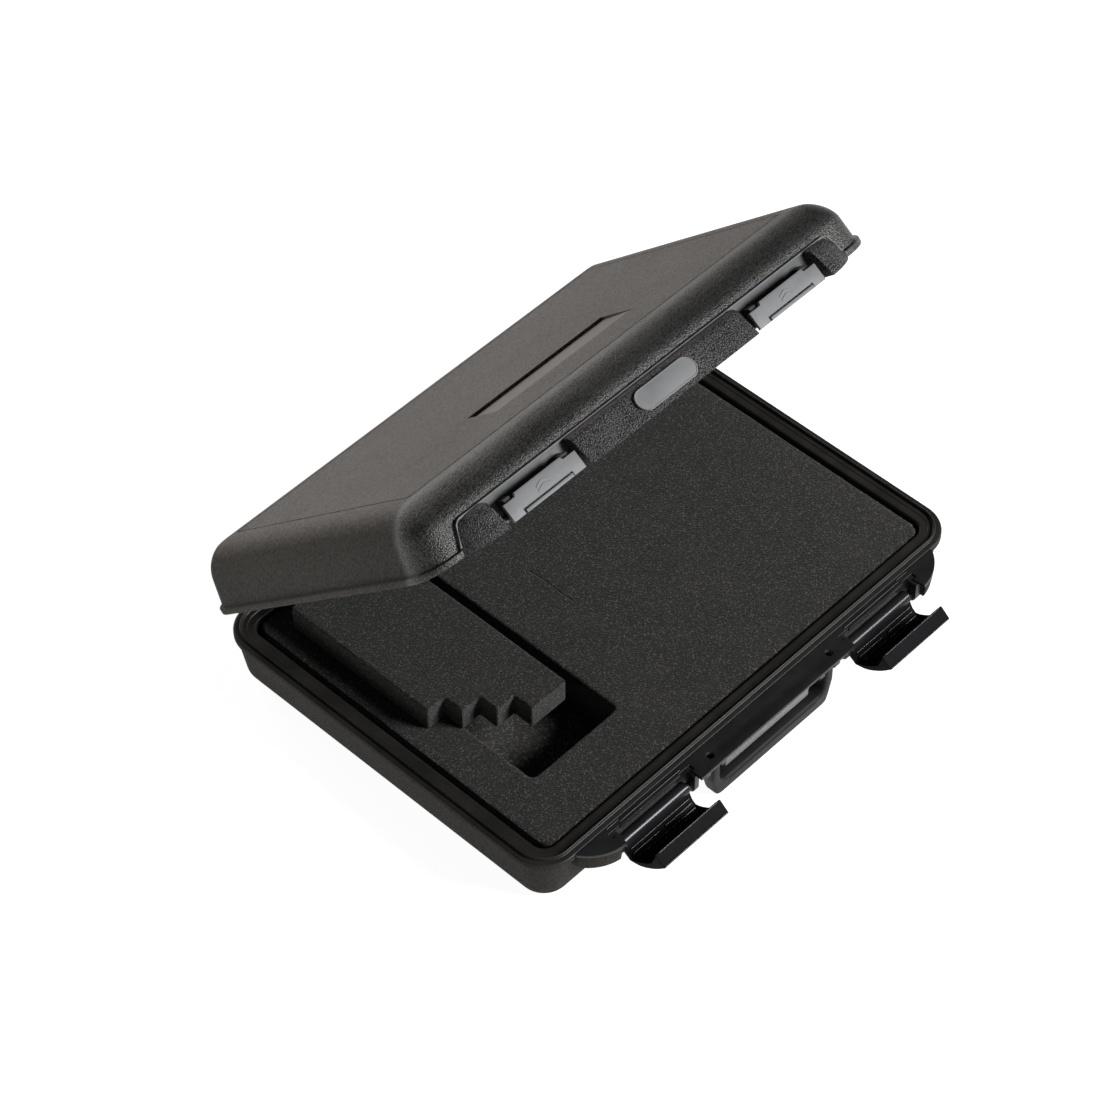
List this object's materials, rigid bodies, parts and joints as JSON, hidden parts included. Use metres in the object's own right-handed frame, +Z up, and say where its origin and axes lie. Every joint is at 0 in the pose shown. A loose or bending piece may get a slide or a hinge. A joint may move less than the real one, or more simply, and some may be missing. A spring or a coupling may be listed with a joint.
{
  "type": "hard equipment case",
  "caption": "Shallow hard plastic equipment case with a hinged lid, over-centre front latches, a fold-down carrying handle and a pluck-foam lining with a lifted block.",
  "frame": {"origin": "centre of the base's flat underside, on the surface that the case stands on", "axes": "+X to the right along the front, seen from the front; +Y from the latches towards the hinge; +Z up"},
  "size_m": [0.32, 0.2884, 0.2195],
  "materials": {
    "shell_plastic": "matte",
    "latch_plastic": "satin",
    "handle_plastic": "satin",
    "catch_plastic": "satin",
    "plate_plastic": "satin",
    "pin_steel": "satin",
    "gasket_rubber": "matte",
    "foam": "matte"
  },
  "bodies": {
    "base": {"base_shell": "shell_plastic", "hinge_pin_left": "pin_steel", "hinge_pin_right": "pin_steel", "latch_pin_left": "pin_steel", "latch_pin_right": "pin_steel", "handle_pin_left": "pin_steel", "handle_pin_right": "pin_steel", "foam_insert": "foam", "foam_bottom_pad": "foam"},
    "lid": {"lid_shell": "shell_plastic", "lid_gasket": "gasket_rubber", "latch_catch_left": "catch_plastic", "latch_catch_right": "catch_plastic", "name_plate": "plate_plastic", "lid_foam_pad": "foam"},
    "latch_left": {"latch_left": "latch_plastic"},
    "latch_right": {"latch_right": "latch_plastic"},
    "handle": {"carry_handle": "handle_plastic"},
    "foam_block": {"foam_block": "foam"}
  },
  "joints": [
    {"name": "lid_hinge", "type": "hinge", "parent": "base", "child": "lid", "pos_m": [0, 0.1252, 0.0324], "axis": [-1, 0, 0], "range_deg": [-43.93, 61]},
    {"name": "latch_left_pivot", "type": "hinge", "parent": "base", "child": "latch_left", "pos_m": [-0.0873, -0.1245, 0.0244], "axis": [1, 0, 0], "range_deg": [-64, 0]},
    {"name": "latch_right_pivot", "type": "hinge", "parent": "base", "child": "latch_right", "pos_m": [0.0873, -0.1245, 0.0244], "axis": [1, 0, 0], "range_deg": [-64, 0]},
    {"name": "handle_pivot", "type": "hinge", "parent": "base", "child": "handle", "pos_m": [0, -0.125, 0.0254], "axis": [-1, 0, 0], "range_deg": [0, 105]},
    {"name": "foam_block_lift", "type": "slide", "parent": "base", "child": "foam_block", "axis": [0, 0, 1], "range_m": [0, 0.04]}
  ]
}
